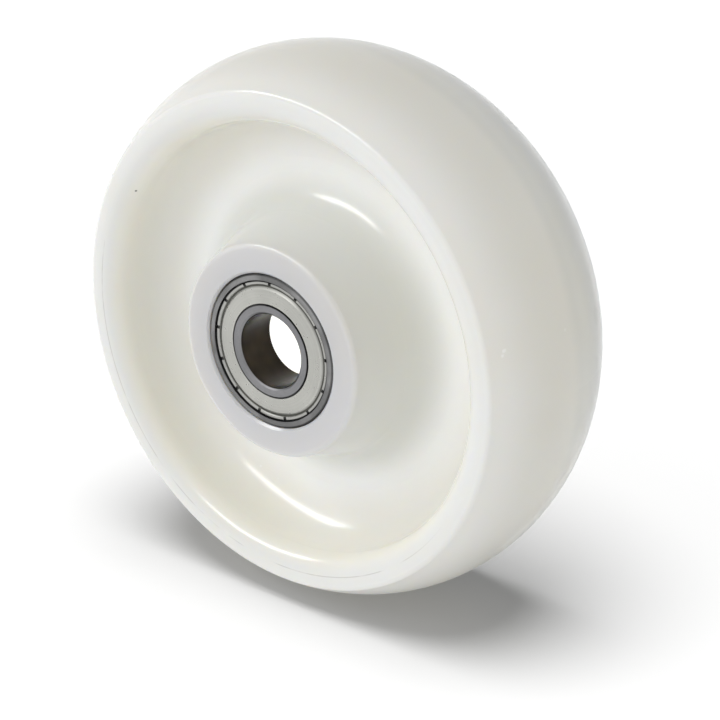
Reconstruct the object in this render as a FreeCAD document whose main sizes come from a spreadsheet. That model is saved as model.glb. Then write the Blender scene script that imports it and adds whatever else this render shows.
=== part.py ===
import FreeCAD, Part
import math
import os

import Sketcher

# Ball bearing wheel: a one piece nylon wheel that turns on two shielded ball bearings.
# The origin is the wheel's centre, the wheel spins about Y, and -Y is the front side.

os.makedirs("parts", exist_ok=True)
doc = FreeCAD.newDocument("BallBearingWheel")

# Driving dimensions, in millimetres, degrees or plain counts
SIZES = [
    # wheel body
    ("wheel_diameter", 150.0),
    ("tread_width", 50.0),
    ("tread_dome", 43.0),
    ("rim_edge_round", 1.5),
    ("rim_thickness", 16.0),
    ("lip_round", 6.0),
    ("wall_draft", 1.4),
    ("wall_root_round", 12.5),
    ("web_thickness", 11.0),
    ("hub_length", 56.0),
    ("hub_wall", 7.5),
    ("hub_draft", 7.0),
    ("hub_root_round", 10.0),
    ("hub_edge_round", 1.4),
    ("seat_shoulder", 3.5),
    ("seat_lead", 0.6),
    ("bearing_inset", 0.5),
    # ball bearing
    ("bearing_bore", 20.0),
    ("bearing_diameter", 42.0),
    ("bearing_width", 12.0),
    ("ring_chamfer", 0.6),
    ("ball_diameter", 6.35),
    ("ball_count", 9),
    ("race_play", 0.05),
    ("race_round", 3.27),
    ("inner_shoulder_drop", 2.1),
    ("inner_step", 0.9),
    ("step_depth", 0.8),
    ("outer_shoulder_rise", 1.9),
    ("outer_lip", 1.9),
    # shield
    ("shield_sheet", 0.3),
    ("shield_inset", 0.15),
    ("shield_gap", 0.35),
    ("shield_fit", 0.1),
    ("shield_border", 2.3),
    ("shield_drop", 0.5),
    ("shield_flank", 0.75),
    ("shield_valley", 0.3),
    ("bead_width", 0.4),
    ("bead_height", 0.27),
    ("notch_count", 13),
    ("notch_width", 0.8),
    ("notch_angle", 104.0),
    # cage
    ("cage_sheet", 0.5),
    ("cage_width", 2.6),
    ("pocket_play", 0.12),
    ("rivet_diameter", 0.9),
    ("rivet_head", 1.5),
    ("rivet_head_height", 0.3),
    ("rivet_play", 0.02),
]

sheet = doc.addObject("Spreadsheet::Sheet", "sizes")
for row, (alias, number) in enumerate(SIZES, start=1):
    sheet.set(f"A{row}", alias)
    sheet.set(f"B{row}", str(number))
    sheet.setAlias(f"B{row}", alias)
doc.recompute()

# Radii and places that several pieces share, written from the driving dimensions
RIM_FACE = "sizes.tread_width / 2"
RIM_INNER_R = "(sizes.wheel_diameter / 2 - sizes.rim_thickness)"
DOME_EDGE_R = (
    "(sizes.wheel_diameter / 2 - sizes.tread_dome"
    " + sqrt(sizes.tread_dome ^ 2 - (sizes.tread_width / 2) ^ 2))"
)
WEB_FACE = "sizes.web_thickness / 2"
WALL_ROOT_R = f"({RIM_INNER_R} - sizes.wall_draft)"
HUB_FACE = "sizes.hub_length / 2"
SEAT_R = "sizes.bearing_diameter / 2"
SEAT_END = "(sizes.hub_length / 2 - sizes.bearing_inset - sizes.bearing_width)"
HUB_R = "(sizes.bearing_diameter / 2 + sizes.hub_wall)"
HUB_ROOT_R = f"({HUB_R} + sizes.hub_draft)"
BEARING_MIDDLE = "(sizes.hub_length / 2 - sizes.bearing_inset - sizes.bearing_width / 2)"
BORE_R = "sizes.bearing_bore / 2"
RING_FACE = "sizes.bearing_width / 2"
BALL_R = "sizes.ball_diameter / 2"
BALL_CENTRE_R = "((sizes.bearing_bore + sizes.bearing_diameter) / 4)"
INNER_RACE_R = f"({BALL_CENTRE_R} - {BALL_R} - sizes.race_play)"
OUTER_RACE_R = f"({BALL_CENTRE_R} + {BALL_R} + sizes.race_play)"
INNER_SHOULDER_R = f"({BALL_CENTRE_R} - sizes.inner_shoulder_drop)"
OUTER_SHOULDER_R = f"({BALL_CENTRE_R} + sizes.outer_shoulder_rise)"
STEP_R = f"({INNER_SHOULDER_R} - sizes.inner_step)"
STEP_FLOOR = "(sizes.bearing_width / 2 - sizes.step_depth)"
SHIELD_TOP = "(sizes.bearing_width / 2 - sizes.shield_inset)"
SHIELD_FLOOR = f"({SHIELD_TOP} - sizes.shield_drop - sizes.shield_sheet)"
SHIELD_SEAT_R = "(sizes.bearing_diameter / 2 - sizes.outer_lip)"
SHIELD_RIM_R = f"({SHIELD_SEAT_R} - sizes.shield_fit)"
SHIELD_EDGE_R = f"({STEP_R} + sizes.shield_gap)"
CAGE_INNER_R = f"({BALL_CENTRE_R} - sizes.cage_width / 2)"
CAGE_OUTER_R = f"({BALL_CENTRE_R} + sizes.cage_width / 2)"
POCKET_R = "(sizes.ball_diameter / 2 + sizes.pocket_play)"

# Flat stretches of the dish that its rounds have to fit on, and the share each round may take
RIM_LAND = f"({DOME_EDGE_R} - {RIM_INNER_R})"
DISH_DEPTH = f"({RIM_FACE} - {WEB_FACE})"
WEB_SPAN = f"({WALL_ROOT_R} - {HUB_ROOT_R})"
LIP_LAND_SHARE = 0.85
LIP_DEPTH_SHARE = 0.35
WALL_DEPTH_SHARE = 0.71
WALL_SPAN_SHARE = 0.63
HUB_SPAN_SHARE = 0.5
LIP_ROUND = f"min(sizes.lip_round; {RIM_LAND} * {LIP_LAND_SHARE}; {DISH_DEPTH} * {LIP_DEPTH_SHARE})"
WALL_ROOT_ROUND = (
    f"min(sizes.wall_root_round; {DISH_DEPTH} * {WALL_DEPTH_SHARE};"
    f" {WEB_SPAN} * {WALL_SPAN_SHARE})"
)
HUB_ROOT_ROUND = f"min(sizes.hub_root_round; {WEB_SPAN} * {HUB_SPAN_SHARE})"


def value(expression):
    """The number that an expression of the sheet's sizes gives now."""
    found = sheet.evalExpression(expression)
    return float(getattr(found, "Value", found))


def new_body(label):
    body = doc.addObject("PartDesign::Body", label)
    body.Label = label
    return body


def origin_part(body, role):
    """One of a body's own origin planes or axes, found by its role."""
    for item in body.Origin.OriginFeatures:
        if item.Role == role:
            return item
    raise ValueError(f"{body.Label} has no {role}")


def new_sketch(body, name, plane="XY_Plane"):
    sketch = body.newObject("Sketcher::SketchObject", name)
    sketch.AttachmentSupport = [(origin_part(body, plane), "")]
    sketch.MapMode = "FlatFace"
    return sketch


def pin_point(sketch, edge, end, across, along):
    """Tie one end of a sketch edge to two expressions, measured from the sketch's origin."""
    for kind, expression in (("DistanceX", across), ("DistanceY", along)):
        place = Sketcher.Constraint(kind, -1, 1, edge, end, value(expression))
        index = sketch.addConstraint(place)
        sketch.setExpression(f"Constraints[{index}]", expression)


def outline(body, name, corners, arcs=None, plane="XY_Plane"):
    """Close a sketch through corners; arcs maps a side to (radius, side it bulges to)."""
    arcs = arcs or {}
    sketch = new_sketch(body, name, plane)
    places = [FreeCAD.Vector(value(a), value(b), 0) for a, b in corners]
    count = len(places)
    for side in range(count):
        start = places[side]
        end = places[(side + 1) % count]
        if side not in arcs:
            sketch.addGeometry(Part.LineSegment(start, end), False)
            continue
        radius, bulge = arcs[side]
        half = (end - start) * 0.5
        rise = value(radius) - math.sqrt(value(radius) ** 2 - half.Length ** 2)
        across = FreeCAD.Vector(bulge, 0, 0)
        middle = start + half + across * rise
        arc = Part.Arc(start, middle, end)
        sketch.addGeometry(arc, False)
    # A side may be stored the other way round, so its nearer end is looked up
    for side in range(count):
        here = 1 if sketch.getPoint(side, 1).distanceToPoint(places[side]) < 1e-6 else 2
        before = (side - 1) % count
        last = 1 if sketch.getPoint(before, 1).distanceToPoint(places[side]) < 1e-6 else 2
        sketch.addConstraint(Sketcher.Constraint("Coincident", before, last, side, here))
        pin_point(sketch, side, here, *corners[side])
    for side, (radius, bulge) in arcs.items():
        index = sketch.addConstraint(Sketcher.Constraint("Radius", side, value(radius)))
        sketch.setExpression(f"Constraints[{index}]", radius)
    return sketch


def turned(body, name, sketch, kind="PartDesign::Revolution"):
    """Turn a half section about the wheel's axis, adding it or cutting it away."""
    feature = body.newObject(kind, name)
    feature.Profile = sketch
    feature.ReferenceAxis = (sketch, ["V_Axis"])
    feature.Angle = 360.0
    doc.recompute()
    return feature


def circle_edges(feature, circles):
    """Names of the round edges about the Y axis with the given radii and places along Y."""
    names = []
    for radius, along in circles:
        for index, edge in enumerate(feature.Shape.Edges, start=1):
            curve = edge.Curve
            if not isinstance(curve, Part.Circle):
                continue
            same_radius = abs(curve.Radius - value(radius)) < 1e-4
            if same_radius and abs(curve.Center.y - value(along)) < 1e-4:
                names.append(f"Edge{index}")
    if len(names) < len(circles):
        raise ValueError(f"{feature.Label}: a round edge wasn't found")
    return names


def blended(body, name, base, circles, size, kind="PartDesign::Fillet"):
    """Round or chamfer the edges at the given circles by a size of the sheet."""
    feature = body.newObject(kind, name)
    feature.Base = (base, circle_edges(base, circles))
    prop = "Radius" if kind == "PartDesign::Fillet" else "Size"
    feature.setExpression(prop, size)
    doc.recompute()
    return feature


def both_sides(radius, along):
    return [(radius, along), (radius, f"-({along})")]


def around_axis(body, name, features, count, start=None):
    """Repeat features evenly about the wheel's axis and make the pattern the body's tip."""
    pattern = body.newObject("PartDesign::PolarPattern", name)
    pattern.Originals = features
    pattern.Axis = (origin_part(body, "Y_Axis"), [""])
    pattern.Angle = 360.0
    pattern.setExpression("Occurrences", count)
    body.Tip = pattern
    doc.recompute()
    return pattern


def place(item, side, turn_axis=None, turn=0.0):
    """Move a piece to its bearing: side is -1 for the front bearing and 1 for the rear one."""
    axis = turn_axis or FreeCAD.Vector(0, 1, 0)
    item.Placement = FreeCAD.Placement(FreeCAD.Vector(0, 0, 0), FreeCAD.Rotation(axis, turn))
    item.setExpression("Placement.Base.y", f"{side} * {BEARING_MIDDLE}")


def build_wheel_body():
    """The moulded wheel: domed tread, deep dished sides, web and hub with bearing seats."""
    body = new_body("wheel_body")
    seat_lead_r = f"({SEAT_R} + sizes.seat_lead)"
    seat_mouth = f"({HUB_FACE} - sizes.seat_lead)"
    stop_r = f"({SEAT_R} - sizes.seat_shoulder)"
    rear_half = [
        (stop_r, SEAT_END),
        (SEAT_R, SEAT_END),
        (SEAT_R, seat_mouth),
        (seat_lead_r, HUB_FACE),
        (HUB_R, HUB_FACE),
        (HUB_ROOT_R, WEB_FACE),
        (WALL_ROOT_R, WEB_FACE),
        (RIM_INNER_R, RIM_FACE),
        (DOME_EDGE_R, RIM_FACE),
    ]
    front_half = [(radius, f"-({along})") for radius, along in reversed(rear_half)]
    dome_side = len(rear_half) - 1
    section = outline(
        body, "wheel_section", rear_half + front_half, {dome_side: ("sizes.tread_dome", 1)}
    )
    solid = turned(body, "wheel_turned", section)
    solid = blended(
        body, "rim_edge_rounds", solid, both_sides(DOME_EDGE_R, RIM_FACE), "sizes.rim_edge_round"
    )
    solid = blended(body, "lip_rounds", solid, both_sides(RIM_INNER_R, RIM_FACE), LIP_ROUND)
    solid = blended(
        body, "wall_root_rounds", solid, both_sides(WALL_ROOT_R, WEB_FACE), WALL_ROOT_ROUND
    )
    solid = blended(
        body, "hub_root_rounds", solid, both_sides(HUB_ROOT_R, WEB_FACE), HUB_ROOT_ROUND
    )
    blended(body, "hub_edge_rounds", solid, both_sides(HUB_R, HUB_FACE), "sizes.hub_edge_round")
    return body


def build_inner_ring(label, side):
    """Inner ring: bore, faces, steps that the shields run over, and the ball groove."""
    body = new_body(label)
    groove_centre_r = f"({INNER_RACE_R} + sizes.race_round)"
    groove_end = f"sqrt(sizes.race_round ^ 2 - ({groove_centre_r} - {INNER_SHOULDER_R}) ^ 2)"
    half = [
        (BORE_R, RING_FACE),
        (STEP_R, RING_FACE),
        (STEP_R, STEP_FLOOR),
        (INNER_SHOULDER_R, STEP_FLOOR),
        (INNER_SHOULDER_R, groove_end),
    ]
    other = [(radius, f"-({along})") for radius, along in reversed(half)]
    section = outline(body, label + "_section", half + other, {4: ("sizes.race_round", -1)})
    solid = turned(body, label + "_turned", section)
    blended(
        body, label + "_chamfers", solid, both_sides(BORE_R, RING_FACE),
        "sizes.ring_chamfer", "PartDesign::Chamfer",
    )
    place(body, side)
    return body


def build_outer_ring(label, side):
    """Outer ring: pressed into the hub, with the ball groove and a ledge for each shield."""
    body = new_body(label)
    groove_centre_r = f"({OUTER_RACE_R} - sizes.race_round)"
    groove_end = f"sqrt(sizes.race_round ^ 2 - ({OUTER_SHOULDER_R} - {groove_centre_r}) ^ 2)"
    half = [
        (SEAT_R, RING_FACE),
        (SHIELD_SEAT_R, RING_FACE),
        (SHIELD_SEAT_R, SHIELD_FLOOR),
        (OUTER_SHOULDER_R, SHIELD_FLOOR),
        (OUTER_SHOULDER_R, groove_end),
    ]
    other = [(radius, f"-({along})") for radius, along in reversed(half)]
    section = outline(body, label + "_section", half + other, {4: ("sizes.race_round", 1)})
    solid = turned(body, label + "_turned", section)
    blended(
        body, label + "_chamfers", solid, both_sides(SEAT_R, RING_FACE),
        "sizes.ring_chamfer", "PartDesign::Chamfer",
    )
    place(body, side)
    return body


def build_shield(label, side, outward):
    """Pressed shield: flat face, sloping flank, valley and a rolled bead with notches."""
    body = new_body(label)
    flat_end_r = f"({SHIELD_RIM_R} - sizes.shield_border)"
    flank_end_r = f"({flat_end_r} + sizes.shield_flank)"
    valley_end_r = f"({flank_end_r} + sizes.shield_valley)"
    bead_end_r = f"({SHIELD_RIM_R} - sizes.bead_width)"
    valley = f"({SHIELD_TOP} - sizes.shield_drop)"
    bead_top = f"({valley} + sizes.bead_height)"
    under = f"({SHIELD_TOP} - sizes.shield_sheet)"
    section = outline(
        body,
        label + "_section",
        [
            (SHIELD_EDGE_R, SHIELD_TOP),
            (flat_end_r, SHIELD_TOP),
            (flank_end_r, valley),
            (valley_end_r, valley),
            (f"({valley_end_r} + sizes.bead_height)", bead_top),
            (bead_end_r, bead_top),
            (SHIELD_RIM_R, valley),
            (SHIELD_RIM_R, SHIELD_FLOOR),
            (f"({flank_end_r} - sizes.shield_sheet / 2)", SHIELD_FLOOR),
            (f"({flat_end_r} - sizes.shield_sheet / 2)", under),
            (SHIELD_EDGE_R, under),
        ],
    )
    turned(body, label + "_turned", section)
    notch_start = f"({bead_end_r} - sizes.bead_height)"
    half_notch = "sizes.notch_width / 2"
    beyond = f"({SHIELD_RIM_R} + sizes.shield_fit)"
    corners = [
        (notch_start, half_notch),
        (beyond, half_notch),
        (beyond, f"-({half_notch})"),
        (notch_start, f"-({half_notch})"),
    ]
    mark = outline(body, label + "_notch_outline", corners, plane="XZ_Plane")
    mark.AttachmentOffset = FreeCAD.Placement()
    mark.setExpression("AttachmentOffset.Base.z", f"-({bead_top})")
    notch = body.newObject("PartDesign::Pocket", label + "_notch")
    notch.Profile = mark
    notch.setExpression("Length", "sizes.bead_height")
    notch.Reversed = True
    doc.recompute()
    around_axis(body, label + "_notches", [notch], "sizes.notch_count")
    # The section is drawn on the +Y side, so a half turn about Z sends it to -Y
    spin = FreeCAD.Rotation(FreeCAD.Vector(0, 1, 0), -value("sizes.notch_angle"))
    flip = FreeCAD.Rotation(FreeCAD.Vector(0, 0, 1), 0.0 if outward > 0 else 180.0)
    body.Placement = FreeCAD.Placement(FreeCAD.Vector(0, 0, 0), spin.multiply(flip))
    body.setExpression("Placement.Base.y", f"{side} * {BEARING_MIDDLE}")
    return body


def build_cage_half(label, side, outward):
    """Half of the pressed ribbon cage: flat webs, round pockets and rivet holes."""
    body = new_body(label)
    web = outline(
        body,
        label + "_web",
        [
            (CAGE_INNER_R, "0"),
            (CAGE_OUTER_R, "0"),
            (CAGE_OUTER_R, "sizes.cage_sheet"),
            (CAGE_INNER_R, "sizes.cage_sheet"),
        ],
    )
    turned(body, label + "_ring", web)
    for step, kind, radius in (
        ("cup", "PartDesign::AdditiveSphere", f"{POCKET_R} + sizes.cage_sheet"),
        ("pocket", "PartDesign::SubtractiveSphere", POCKET_R),
    ):
        ball = body.newObject(kind, f"{label}_{step}")
        ball.setExpression("Radius", radius)
        ball.AttachmentSupport = [(origin_part(body, "XY_Plane"), "")]
        ball.MapMode = "FlatFace"
        ball.setExpression("AttachmentOffset.Base.x", BALL_CENTRE_R)
        doc.recompute()
        around_axis(body, f"{label}_{step}s", [ball], "sizes.ball_count")
    reach = f"({CAGE_OUTER_R} + sizes.ball_diameter)"
    top = "sizes.ball_diameter"
    trim = outline(
        body,
        label + "_trim_outline",
        [
            ("0", top),
            (CAGE_INNER_R, top),
            (CAGE_INNER_R, "0"),
            (CAGE_OUTER_R, "0"),
            (CAGE_OUTER_R, top),
            (reach, top),
            (reach, f"-({top})"),
            ("0", f"-({top})"),
        ],
    )
    turned(body, label + "_trim", trim, "PartDesign::Groove")
    hole_sketch = new_sketch(body, label + "_hole_outline", "XZ_Plane")
    rivet_turn = "(180 / sizes.ball_count)"
    centre = (f"{BALL_CENTRE_R} * cos({rivet_turn})", f"{BALL_CENTRE_R} * sin({rivet_turn})")
    hole_r = "(sizes.rivet_diameter / 2 + sizes.rivet_play)"
    middle = FreeCAD.Vector(value(centre[0]), value(centre[1]), 0)
    hole_sketch.addGeometry(Part.Circle(middle, FreeCAD.Vector(0, 0, 1), value(hole_r)), False)
    pin_point(hole_sketch, 0, 3, *centre)
    index = hole_sketch.addConstraint(Sketcher.Constraint("Radius", 0, value(hole_r)))
    hole_sketch.setExpression(f"Constraints[{index}]", hole_r)
    hole = body.newObject("PartDesign::Pocket", label + "_rivet_hole")
    hole.Profile = hole_sketch
    hole.Type = "ThroughAll"
    hole.Midplane = True
    doc.recompute()
    around_axis(body, label + "_rivet_holes", [hole], "sizes.ball_count")
    # The half is drawn on the +Y side of the balls, and a half turn about X makes the other
    place(body, side, FreeCAD.Vector(1, 0, 0), 0.0 if outward > 0 else 180.0)
    return body


def build_rivets(label, side):
    """The rivets of one cage: a shank through both halves and a head at each end."""
    body = new_body(label)
    body.AllowCompound = True
    shank_r = "sizes.rivet_diameter / 2"
    head_r = "sizes.rivet_head / 2"
    grip = "sizes.cage_sheet"
    head_end = "(sizes.cage_sheet + sizes.rivet_head_height)"
    turn = "(180 / sizes.ball_count)"
    sketch = outline(
        body,
        label + "_section",
        [
            ("0", head_end),
            (shank_r, head_end),
            (head_r, grip),
            (shank_r, grip),
            (shank_r, f"-({grip})"),
            (head_r, f"-({grip})"),
            (shank_r, f"-({head_end})"),
            ("0", f"-({head_end})"),
        ],
    )
    sketch.setExpression("AttachmentOffset.Base.x", f"{BALL_CENTRE_R} * cos({turn})")
    sketch.setExpression("AttachmentOffset.Base.z", f"{BALL_CENTRE_R} * sin({turn})")
    rivet = turned(body, label + "_first", sketch)
    around_axis(body, label + "_all", [rivet], "sizes.ball_count")
    place(body, side)
    return body


def build_ball(label, side, number):
    """One steel ball at its place on the ball circle."""
    ball = doc.addObject("Part::Sphere", label)
    ball.Label = label
    ball.setExpression("Radius", BALL_R)
    turn = f"({number} * 360 / sizes.ball_count)"
    ball.setExpression("Placement.Base.x", f"{BALL_CENTRE_R} * cos({turn})")
    ball.setExpression("Placement.Base.y", f"{side} * {BEARING_MIDDLE}")
    ball.setExpression("Placement.Base.z", f"{BALL_CENTRE_R} * sin({turn})")
    return ball


def build_bearing(name, side):
    """One shielded deep groove ball bearing, with side -1 at the front and 1 at the rear."""
    pieces = [
        build_inner_ring(name + "_inner_ring", side),
        build_outer_ring(name + "_outer_ring", side),
        build_shield(name + "_outer_shield", side, side),
        build_shield(name + "_inner_shield", side, -side),
        build_cage_half(name + "_cage_outer_half", side, side),
        build_cage_half(name + "_cage_inner_half", side, -side),
        build_rivets(name + "_cage_rivets", side),
    ]
    for number in range(int(value("sizes.ball_count"))):
        pieces.append(build_ball(f"{name}_ball_{number + 1}", side, number))
    return pieces


def check_document():
    """Stop if any object of the document failed to build."""
    for item in doc.Objects:
        if "Invalid" in item.State or "Error" in item.State:
            raise RuntimeError(f"{item.Label} failed: {item.State}")


def write_pieces(pieces):
    for piece in pieces:
        shape = piece.Shape
        if shape.isNull() or not shape.isValid() or not shape.Solids:
            raise RuntimeError(f"{piece.Label} has no valid solid")
        print(f"{piece.Label}: {len(shape.Solids)} solid, {shape.Volume:.1f} mm3")
        shape.exportStep(f"parts/{piece.Label}.step")


all_pieces = [build_wheel_body()]
all_pieces += build_bearing("front", -1)
all_pieces += build_bearing("rear", 1)
doc.recompute()
check_document()
write_pieces(all_pieces)
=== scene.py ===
import math

import bpy
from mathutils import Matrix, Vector


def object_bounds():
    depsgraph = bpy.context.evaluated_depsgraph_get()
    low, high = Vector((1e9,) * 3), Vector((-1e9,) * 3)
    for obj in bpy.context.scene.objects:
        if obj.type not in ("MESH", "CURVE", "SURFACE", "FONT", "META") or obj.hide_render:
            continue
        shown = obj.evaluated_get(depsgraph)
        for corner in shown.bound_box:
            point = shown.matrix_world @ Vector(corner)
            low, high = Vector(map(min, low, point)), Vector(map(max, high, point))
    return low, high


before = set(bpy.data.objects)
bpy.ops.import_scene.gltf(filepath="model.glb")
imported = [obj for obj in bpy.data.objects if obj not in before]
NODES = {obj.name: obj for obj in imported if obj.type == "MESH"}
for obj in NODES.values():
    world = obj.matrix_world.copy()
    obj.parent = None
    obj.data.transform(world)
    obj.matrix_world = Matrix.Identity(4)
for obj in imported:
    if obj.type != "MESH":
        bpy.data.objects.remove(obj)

# Looks of the ball bearing wheel: cast nylon, ground and pressed steel, and a white studio.
# Lengths are in metres. The axle line is Y, and -Y is the front side.

MM = 0.001
CAD_BOX = [list(corner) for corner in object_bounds()]
FLOOR_Z = CAD_BOX[0][2]

# Photograph's view
CAMERA_PLACE = Vector((313.5, -381.4, 200.1)) * MM
CAMERA_AZIMUTH = math.radians(38.73)
CAMERA_ELEVATION = math.radians(23.2)
CAMERA_LENS = 100.0
CAMERA_SENSOR = 36.0

# Radii that colours and marks follow
WHEEL_R = 75.0 * MM
BORE_R = 10.0 * MM
CREASE_R = 63.4 * MM
CREASE_HALF_WIDTH = 0.12 * MM
CREASE_STRENGTH = 0.38
# The crease's painted shade shows on the rim's lower left only, and fades in over these shares of
# this direction
CREASE_SIDE = (-0.5, 0.0, -0.866)
CREASE_REACH = (-0.05, 0.45)

# Notches in the outer shields' rolled beads
BEAD_IN_R = 17.85 * MM
BEAD_OUT_R = 18.8 * MM
BEAD_SOFT = 0.05 * MM
NOTCH_COUNT = 13
NOTCH_ANGLE = math.radians(104.0)
# A notch spans the angles where the cosine that peaks at its middle is above these
NOTCH_RISE = (0.93, 0.96)

# The tread's rear half and rear edge, painted greyer as shade: from where to where along the axle,
# and in radius
REAR_FADE = (4.0 * MM, 9.0 * MM)
REAR_WANDER = 10.0 * MM
EDGE_FADE = (5.0 * MM, 15.0 * MM)
TREAD_FADE = (60.0 * MM, 66.0 * MM)

# Size of each noise, in cells per metre
WANDER_CELLS = 14.0
CLOUD_CELLS = 26.0
PATCH_CELLS = 75.0
CREASE_CELLS = 90.0
BORE_CLOUD_CELLS = 110.0
PEEL_CELLS = 420.0
RAGGED_CELLS = 650.0
FINE_CELLS = 900.0
LINE_CELLS = 2200.0

# Levels between which each noise takes effect
CREASE_RISE = (0.36, 0.52)
CLOUD_RISE = (0.32, 0.72)
BORE_CLOUD_RISE = (0.25, 0.80)
MOTTLE_RISE = (0.46, 0.66)
PATCH_RISE = (0.36, 0.62)

# Tints that are laid over the nylon and the steel; the rear, edge, crease and bore tints are painted
# shade
REAR_SHADE_TINT = (0.92, 0.93, 0.94)
EDGE_SHADE_TINT = (0.80, 0.81, 0.82)
WARM_TINT = (0.985, 0.975, 0.95)
CREASE_SHADE_TINT = (0.36, 0.34, 0.31)
MOTTLE_TINT = (0.72, 0.72, 0.70)
# The bore's painted shade: nearly black, with brown clouds
BORE_SHADE_DARK = (0.010, 0.008, 0.006)
BORE_SHADE_BROWN = (0.031, 0.025, 0.018)

# Its sun and the room's light bring a floor of this shade to white, like the room behind it
FLOOR_SHADE = 0.46
FLOOR_SIZE = 40.0

# Light of the room on the pieces: soft lobes, each with its direction and level
LOBE_POWER = 4.0
ROOM_LOBES = [
    ((1.0, 0.0, 0.0), 0.9),
    ((-1.0, 0.0, 0.0), 0.6),
    ((0.0, 1.0, 0.0), 0.6),
    ((0.0, -1.0, 0.0), 1.1),
    ((0.0, 0.0, -1.0), 0.9),
    ((0.577, 0.577, 0.577), 0.8),
    ((0.577, -0.577, 0.577), 0.2),
    ((0.577, -0.577, -0.577), 0.2),
    ((-0.577, -0.577, 0.577), 1.1),
    ((-0.577, -0.577, -0.577), 0.5),
]

# Tint of the nylon for each part, by distance from the axle line in millimetres: partly its own
# tone, partly painted light and shade
NYLON_TONE_AND_PAINTED_LIGHT = [
    # hub's bore wall, painted bright as if lit
    (19.5, (0.93, 0.93, 0.92)),
    # hub face, painted darker as shade in the thick nylon
    (20.8, (0.61, 0.61, 0.62)),
    (26.8, (0.63, 0.63, 0.64)),
    # hub side
    (30.0, (0.76, 0.77, 0.75)),
    (35.0, (0.77, 0.78, 0.75)),
    # web, painted lighter as if lit through the thin nylon
    (44.0, (0.90, 0.91, 0.90)),
    # dish wall
    (53.5, (0.86, 0.85, 0.80)),
    (58.5, (0.88, 0.87, 0.80)),
    # rim face
    (62.5, (0.79, 0.80, 0.79)),
    (65.5, (0.80, 0.81, 0.80)),
    # tread, its edge painted lighter as if lit
    (69.0, (0.86, 0.86, 0.83)),
    (74.7, (0.80, 0.79, 0.73)),
]

# Small marks on the nylon: place in millimetres, radius in millimetres, colour, strength.
# A mark fades out between two shares of its radius.
MARK_FADE = (0.3, 1.2)
SPECK = (0.05, 0.045, 0.04)
CHIP = (0.95, 0.95, 0.93)
SMUDGE = (0.42, 0.42, 0.38)
MARKS = [
    ((-50.8, -22.6, 31.5), 0.32, SPECK, 0.9),
    ((67.7, -20.8, 15.9), 0.6, CHIP, 0.9),
    ((67.8, -21.2, 14.8), 0.5, CHIP, 0.8),
    ((73.0, -2.5, 16.9), 0.55, CHIP, 0.35),
    ((70.8, 14.8, 14.7), 2.8, SMUDGE, 0.22),
    ((72.9, 13.1, 3.2), 2.4, SMUDGE, 0.18),
    ((-22.1, -7.2, -47.2), 0.4, CHIP, 0.5),
    ((-16.0, -7.0, -49.3), 0.35, CHIP, 0.4),
]


def add(tree, kind, sockets=None, **settings):
    """Add a shader node whose inputs take plain values or other nodes' outputs."""
    made = tree.nodes.new(kind)
    for name, value in settings.items():
        setattr(made, name, value)
    for key, value in (sockets or {}).items():
        if isinstance(value, bpy.types.NodeSocket):
            tree.links.new(value, made.inputs[key])
        else:
            made.inputs[key].default_value = value
    return made


def new_finish(name):
    """An empty material and its node tree."""
    material = bpy.data.materials.new(name)
    material.use_nodes = True
    material.node_tree.nodes.clear()
    return material, material.node_tree


def close_finish(tree, shader):
    add(tree, "ShaderNodeOutputMaterial", {"Surface": shader.outputs[0]})


def maths(tree, operation, first, second=None, third=None):
    sockets = {0: first}
    if second is not None:
        sockets[1] = second
    if third is not None:
        sockets[2] = third
    return add(tree, "ShaderNodeMath", sockets, operation=operation).outputs[0]


def grey(value):
    return (value, value, value)


def ramp(tree, factor, stops):
    """Colour ramp from (place, colour) stops."""
    made = add(tree, "ShaderNodeValToRGB", {0: factor})
    line = made.color_ramp
    line.interpolation = "EASE"
    while len(line.elements) < len(stops):
        line.elements.new(1.0)
    for element, (place, colour) in zip(line.elements, stops):
        element.position = place
        element.color = (*colour, 1.0)
    return made.outputs["Color"]


def mixed(tree, kind, factor, first, second):
    """Blend two colours, each a plain colour or another node's output."""
    made = add(tree, "ShaderNodeMix", data_type="RGBA", blend_type=kind)
    for index, value in ((0, factor), (6, first), (7, second)):
        if isinstance(value, bpy.types.NodeSocket):
            tree.links.new(value, made.inputs[index])
        elif index == 0:
            made.inputs[index].default_value = value
        else:
            made.inputs[index].default_value = (*value, 1.0)
    return made.outputs[2]


def between(tree, value, low, high):
    """0 below low and 1 above high, with a soft step between."""
    return add(
        tree,
        "ShaderNodeMapRange",
        {"Value": value, "From Min": low, "From Max": high},
        interpolation_type="SMOOTHSTEP",
    ).outputs[0]


def within(tree, value, inner, outer):
    """1 up to inner and 0 past outer, with a soft step between."""
    return maths(tree, "SUBTRACT", 1.0, between(tree, value, inner, outer))


def axle_places(tree):
    """Object coordinates, distance from the axle line and place along it."""
    spot = add(tree, "ShaderNodeTexCoord").outputs["Object"]
    parts = add(tree, "ShaderNodeSeparateXYZ", {0: spot}).outputs
    across = add(tree, "ShaderNodeCombineXYZ", {"X": parts["X"], "Z": parts["Z"]}).outputs[0]
    radius = add(tree, "ShaderNodeVectorMath", {0: across}, operation="LENGTH").outputs["Value"]
    return spot, radius, parts["Y"]


def noise(tree, spot, cells, detail=2.0, rough=0.5):
    """Soft noise in 0 to 1, with the given number of cells per metre."""
    return add(
        tree,
        "ShaderNodeTexNoise",
        {"Vector": spot, "Scale": cells, "Detail": detail, "Roughness": rough},
    ).outputs[0]


def turned_lines(tree, radius, along):
    """Noise that runs in rings about the axle, as a lathe or grinding wheel leaves it."""
    spot = add(tree, "ShaderNodeCombineXYZ", {"X": radius, "Y": along}).outputs[0]
    return noise(tree, spot, LINE_CELLS, 1.0, 0.6)


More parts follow.
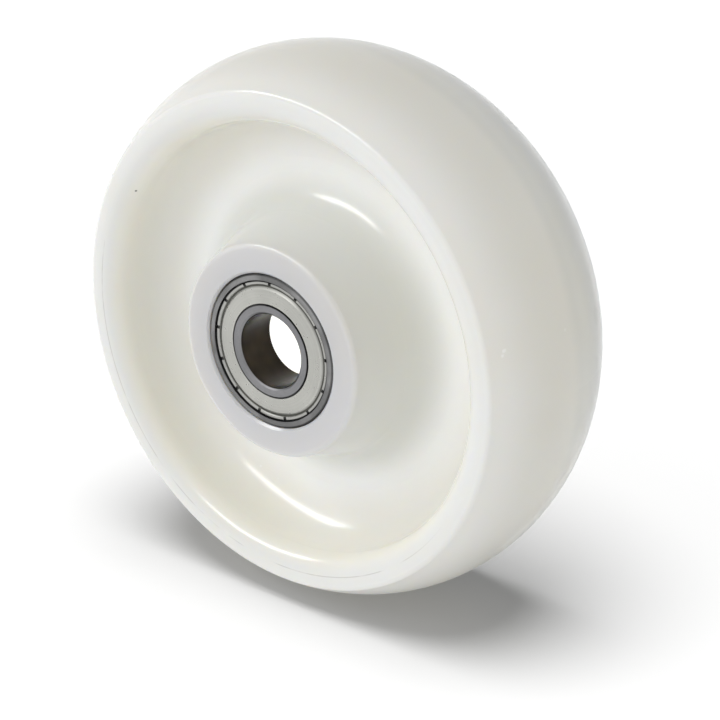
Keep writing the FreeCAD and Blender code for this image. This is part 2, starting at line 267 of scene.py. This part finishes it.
def crease_painted_shade(tree, spot, radius):
    """Painted shade along the thin parting line where the rim's flat face meets the rounded lip, on
    the rim's lower left only.
    """
    off = maths(tree, "ABSOLUTE", maths(tree, "SUBTRACT", radius, CREASE_R))
    line = within(tree, off, CREASE_HALF_WIDTH * 0.4, CREASE_HALF_WIDTH * 1.6)
    facing = add(tree, "ShaderNodeVectorMath", {0: spot, 1: CREASE_SIDE}, operation="DOT_PRODUCT")
    share = maths(tree, "DIVIDE", facing.outputs["Value"], CREASE_R)
    shown = between(tree, share, *CREASE_REACH)
    broken = between(tree, noise(tree, spot, CREASE_CELLS, 2.0, 0.6), *CREASE_RISE)
    return maths(tree, "MULTIPLY", maths(tree, "MULTIPLY", line, shown), broken)


def dark_notches(tree, spot, radius, tint):
    """Darken the notches of the shields' beads, which are too small to shade themselves."""
    parts = add(tree, "ShaderNodeSeparateXYZ", {0: spot}).outputs
    turn = maths(tree, "ARCTAN2", parts["Z"], parts["X"])
    wave = maths(tree, "MULTIPLY_ADD", turn, NOTCH_COUNT, -NOTCH_COUNT * NOTCH_ANGLE)
    # The front shield's notches lie half a step from the rear one's
    wave = maths(tree, "MULTIPLY", maths(tree, "COSINE", wave), maths(tree, "SIGN", parts["Y"]))
    on_bead = maths(
        tree,
        "MULTIPLY",
        between(tree, radius, BEAD_IN_R - BEAD_SOFT, BEAD_IN_R + BEAD_SOFT),
        within(tree, radius, BEAD_OUT_R - BEAD_SOFT, BEAD_OUT_R + BEAD_SOFT),
    )
    notch = maths(tree, "MULTIPLY", on_bead, between(tree, wave, *NOTCH_RISE))
    return mixed(tree, "MULTIPLY", notch, tint, grey(0.10))


def marked(tree, spot, tint):
    """Lay the small specks, chips and smudges, with ragged outlines, over a colour."""
    ragged = maths(tree, "MULTIPLY_ADD", noise(tree, spot, RAGGED_CELLS, 2.0, 0.6), 2.0, 0.1)
    for place, size, colour, strength in MARKS:
        middle = tuple(value * MM for value in place)
        off = add(tree, "ShaderNodeVectorMath", {0: spot, 1: middle}, operation="DISTANCE")
        far = maths(tree, "MULTIPLY", off.outputs["Value"], ragged)
        near = within(tree, far, *(size * share * MM for share in MARK_FADE))
        tint = mixed(tree, "MIX", maths(tree, "MULTIPLY", near, strength), tint, colour)
    return tint


def rear_painted_shade(tree, spot, radius, along, tint):
    """Painted shade: the tread's rear half is a little greyer, with a soft wandering boundary, and
    darker still towards its rear edge.
    """
    wander = noise(tree, spot, WANDER_CELLS, 1.0, 0.5)
    wander = maths(tree, "MULTIPLY_ADD", wander, REAR_WANDER, along)
    on_tread = between(tree, radius, *TREAD_FADE)
    behind = maths(tree, "MULTIPLY", between(tree, wander, *REAR_FADE), on_tread)
    edge = maths(tree, "MULTIPLY", behind, between(tree, along, *EDGE_FADE))
    tint = mixed(tree, "MULTIPLY", behind, tint, REAR_SHADE_TINT)
    return mixed(tree, "MULTIPLY", edge, tint, EDGE_SHADE_TINT)


def nylon_finish():
    """Cast natural nylon: milky and slightly see-through, glossy, warm in the dish and tread. Its
    tints also paint light and shade: lighter on the thin web, darker on the thick hub, and shade on
    the crease and the tread's rear.
    """
    material, tree = new_finish("nylon_natural")
    spot, radius, along = axle_places(tree)
    share = maths(tree, "DIVIDE", radius, WHEEL_R)
    # The tints by radius are partly painted light and shade
    tint = ramp(tree, share, [(place * MM / WHEEL_R, colour) for place, colour in NYLON_TONE_AND_PAINTED_LIGHT])
    # Painted shade on the tread's rear half and rear edge
    tint = rear_painted_shade(tree, spot, radius, along, tint)
    warm = between(tree, noise(tree, spot, CLOUD_CELLS), *CLOUD_RISE)
    tint = mixed(tree, "MULTIPLY", warm, tint, WARM_TINT)
    # Painted shade along the rim's parting line
    crease = maths(tree, "MULTIPLY", crease_painted_shade(tree, spot, radius), CREASE_STRENGTH)
    tint = mixed(tree, "MIX", crease, tint, CREASE_SHADE_TINT)
    tint = marked(tree, spot, tint)
    peel = noise(tree, spot, PEEL_CELLS, 1.0)
    bump = add(
        tree,
        "ShaderNodeBump",
        {"Strength": 0.12, "Distance": 0.02 * MM, "Height": peel},
    )
    shader = add(
        tree,
        "ShaderNodeBsdfPrincipled",
        {
            "Base Color": tint,
            "Roughness": 0.20,
            "Subsurface Weight": 0.55,
            "Subsurface Radius": (1.0, 0.85, 0.6),
            "Subsurface Scale": 6.0 * MM,
            "IOR": 1.53,
            "Specular IOR Level": 0.36,
            "Normal": bump.outputs[0],
        },
    )
    close_finish(tree, shader)
    return material


def bore_painted_shade(tree, spot, radius, tint):
    """Paint the bore nearly black as shade, with brown clouds."""
    inside = within(tree, radius, BORE_R + 0.1 * MM, BORE_R + 0.3 * MM)
    cloud = between(tree, noise(tree, spot, BORE_CLOUD_CELLS), *BORE_CLOUD_RISE)
    bore_shade = mixed(tree, "MIX", cloud, BORE_SHADE_DARK, BORE_SHADE_BROWN)
    return mixed(tree, "MIX", inside, tint, bore_shade)


def steel_finish(name, shades, rough, depth=0.0, mottle=0.0, uneven=0.0, overlay=None):
    """Steel with ring marks from turning or grinding.

    shades is a plain colour, or stops of (distance from the axle in mm, colour).
    depth is that of the ring marks, mottle and uneven are the strengths of fine spots and of
    broad dark patches, and overlay is a function that lays more over the colour.
    """
    material, tree = new_finish(name)
    spot, radius, along = axle_places(tree)
    if isinstance(shades, list):
        span = shades[-1][0]
        stops = [(place / span, colour) for place, colour in shades]
        shades = ramp(tree, maths(tree, "DIVIDE", radius, span * MM), stops)
    lines = turned_lines(tree, radius, along)
    fine = noise(tree, spot, FINE_CELLS)
    strength = maths(tree, "MULTIPLY_ADD", lines, 0.24, 0.88)
    tint = mixed(tree, "MULTIPLY", 1.0, shades, strength)
    if mottle:
        spots = maths(tree, "MULTIPLY", between(tree, fine, *MOTTLE_RISE), mottle)
        tint = mixed(tree, "MULTIPLY", spots, tint, MOTTLE_TINT)
    if uneven:
        broad = between(tree, noise(tree, spot, PATCH_CELLS), *PATCH_RISE)
        tint = mixed(tree, "MULTIPLY", maths(tree, "MULTIPLY", broad, uneven), tint, grey(0.40))
    if overlay:
        tint = overlay(tree, spot, radius, tint)
    roughness = maths(tree, "MULTIPLY_ADD", fine, 0.16, rough - 0.08)
    height = maths(tree, "MULTIPLY_ADD", fine, 0.15, lines)
    bump = add(
        tree,
        "ShaderNodeBump",
        {"Strength": 0.35, "Distance": depth, "Height": height},
    )
    shader = add(
        tree,
        "ShaderNodeBsdfPrincipled",
        {
            "Base Color": tint,
            "Metallic": 1.0,
            "Roughness": roughness,
            "Normal": bump.outputs[0],
        },
    )
    close_finish(tree, shader)
    return material


def inner_ring_finish():
    """Ground steel, with painted shade in its bore and in a dark line along the shield's edge."""
    bluish = (0.24, 0.24, 0.248)
    # The near-black stop at 12.42 mm is painted shade along the shield's edge
    shades = [(0.0, (0.27, 0.27, 0.278)), (12.25, bluish), (12.42, grey(0.05)), (16.0, bluish)]
    return steel_finish(
        "ground_inner_ring_steel",
        shades,
        rough=0.34,
        depth=0.02 * MM,
        mottle=0.15,
        uneven=0.25,
        overlay=bore_painted_shade,
    )


def outer_ring_finish():
    """Ground steel with dark patches, and painted shade at the hub's seat."""
    # The darker stops past 20.2 mm are painted shade at the hub's seat
    shades = [(0.0, grey(0.29)), (20.2, grey(0.29)), (20.5, grey(0.14)), (21.0, grey(0.10))]
    return steel_finish(
        "ground_outer_ring_steel", shades, rough=0.36, depth=0.02 * MM, mottle=0.20, uneven=0.75
    )


def shield_finish():
    """Bright sheet steel, with painted shade in its valley, at its edges and in the notches of its
    bead, and a painted highlight on its flank.
    """
    sheet = (0.46, 0.46, 0.43)
    shadow = (0.10, 0.10, 0.09)
    bead = (0.42, 0.42, 0.40)
    # Painted shade in the valley and at the inner and outer edges, and a painted highlight on the
    # flank at 16.9 mm
    shades = [
        (0.0, shadow),
        (12.72, shadow),
        (12.95, sheet),
        (16.5, sheet),
        (16.9, (0.50, 0.50, 0.47)),
        (17.25, (0.32, 0.32, 0.30)),
        (17.5, (0.07, 0.07, 0.06)),
        (17.75, shadow),
        (17.95, bead),
        (18.45, bead),
        (18.7, grey(0.06)),
    ]
    return steel_finish(
        "pressed_shield_steel", shades, rough=0.30, uneven=0.15, overlay=dark_notches
    )


def cage_finish():
    """Dull pressed steel."""
    colour = (0.50, 0.49, 0.47)
    return steel_finish("pressed_cage_steel", colour, rough=0.38, depth=0.01 * MM, mottle=0.30)


def ball_finish():
    """Polished steel."""
    colour = (0.74, 0.74, 0.75)
    return steel_finish("polished_ball_steel", colour, rough=0.12, depth=0.002 * MM)


def dress_pieces():
    """Give each CAD node the finish of its own piece."""
    finishes = {
        "cage": cage_finish(),
        "ball_": ball_finish(),
        "shield": shield_finish(),
        "inner_ring": inner_ring_finish(),
        "outer_ring": outer_ring_finish(),
        "wheel_body": nylon_finish(),
    }
    for name, item in NODES.items():
        finish = next(made for part, made in finishes.items() if part in name)
        item.data.materials.clear()
        item.data.materials.append(finish)


def seen_by_eye(tree):
    """1 for camera, glossy and transmission rays, which see the white room as it is."""
    path = add(tree, "ShaderNodeLightPath")
    seen = maths(tree, "MAXIMUM", path.outputs["Is Camera Ray"], path.outputs["Is Glossy Ray"])
    return maths(tree, "MAXIMUM", seen, path.outputs["Is Transmission Ray"])


def build_floor():
    """A white floor that takes the wheel's soft shadow.

    The wheel's gloss reflects it, but it gives the wheel neither diffuse light nor shade.
    """
    bpy.ops.mesh.primitive_plane_add(size=FLOOR_SIZE, location=(0.0, 0.0, FLOOR_Z))
    floor = bpy.context.object
    floor.name = "studio_floor"
    material, tree = new_finish("studio_floor_white")
    close_finish(tree, add(tree, "ShaderNodeBsdfDiffuse", {"Color": (*grey(FLOOR_SHADE), 1.0)}))
    floor.data.materials.append(material)
    floor.visible_diffuse = False
    floor.visible_shadow = False
    return floor


def build_world():
    """A white room for the eye, whose light on the pieces is a sum of soft lobes."""
    world = bpy.data.worlds.new("studio_room")
    bpy.context.scene.world = world
    world.use_nodes = True
    tree = world.node_tree
    tree.nodes.clear()
    heading = add(tree, "ShaderNodeTexCoord").outputs["Generated"]
    level = 0.0
    for side, strength in ROOM_LOBES:
        facing = add(tree, "ShaderNodeVectorMath", {0: heading, 1: side}, operation="DOT_PRODUCT")
        lobe = maths(tree, "POWER", maths(tree, "MAXIMUM", facing.outputs["Value"], 0.0), LOBE_POWER)
        level = maths(tree, "MULTIPLY_ADD", lobe, strength, level)
    room = add(tree, "ShaderNodeBackground", {"Color": (*grey(1.0), 1.0), "Strength": level})
    white = add(tree, "ShaderNodeBackground", {"Color": (*grey(1.0), 1.0), "Strength": 1.0})
    both = add(
        tree,
        "ShaderNodeMixShader",
        {0: seen_by_eye(tree), 1: room.outputs[0], 2: white.outputs[0]},
    )
    add(tree, "ShaderNodeOutputWorld", {"Surface": both.outputs[0]})


def only_on(lamp, pieces):
    """Let a lamp light some pieces alone; the others still cast its shadow."""
    group = bpy.data.collections.new(lamp.name + "_lit")
    for piece in pieces:
        group.objects.link(piece)
    lamp.light_linking.receiver_collection = group


def outward_from(azimuth, elevation):
    """Direction from the wheel to a lamp. Azimuth 0 is in front (-Y) and 90 is on the +X side."""
    turn = math.radians(azimuth)
    lift = math.radians(elevation)
    return Vector(
        (math.sin(turn) * math.cos(lift), -math.cos(turn) * math.cos(lift), math.sin(lift))
    )


def new_lamp(name, kind, power, outward=Vector((0.0, 0.0, 1.0)), distance=0.0):
    """A lamp that shines at the wheel's centre from the given side."""
    lamp = bpy.data.objects.new(name, bpy.data.lights.new(name, kind))
    bpy.context.scene.collection.objects.link(lamp)
    lamp.data.energy = power
    lamp.location = outward * distance
    lamp.rotation_euler = outward.to_track_quat("Z", "Y").to_euler()
    return lamp


def new_strip(name, power, height):
    """A long lamp to the upper left of the front, which gives the nylon its long highlights."""
    side = outward_from(azimuth=-37.0, elevation=42.0)
    strip = new_lamp(name, "AREA", power, side, distance=1.0)
    strip.data.shape = "RECTANGLE"
    strip.data.size = 1.0
    strip.data.size_y = height
    return strip


def build_lights(floor):
    new_strip("strip_light", power=1.33, height=0.07)
    # A wider strip at the same place adds gloss alone, and only to the nylon
    gloss = new_strip("strip_gloss", power=6.5, height=0.18)
    gloss.visible_diffuse = False
    only_on(gloss, [NODES["wheel_body"]])
    # The shadow under the wheel
    sun = new_lamp("floor_sun", "SUN", power=5.1, outward=outward_from(azimuth=5.0, elevation=83.0))
    sun.data.angle = math.radians(42.0)
    only_on(sun, [floor])
    # The hub's nylon wall shows bright past the bearing's bore
    hub = new_lamp("hub_lamp", "POINT", power=0.011)
    hub.data.shadow_soft_size = 4.0 * MM
    only_on(hub, [NODES["wheel_body"]])


def build_camera():
    """The photograph's view, from the front right and above."""
    data = bpy.data.cameras.new("photo_view")
    data.lens = CAMERA_LENS
    data.sensor_width = CAMERA_SENSOR
    camera = bpy.data.objects.new("photo_view", data)
    bpy.context.scene.collection.objects.link(camera)
    camera.location = CAMERA_PLACE
    camera.rotation_euler = (math.pi / 2 - CAMERA_ELEVATION, 0.0, CAMERA_AZIMUTH)
    bpy.context.scene.camera = camera


dress_pieces()
build_world()
build_lights(build_floor())
build_camera()
bpy.context.scene.view_settings.view_transform = "Standard"
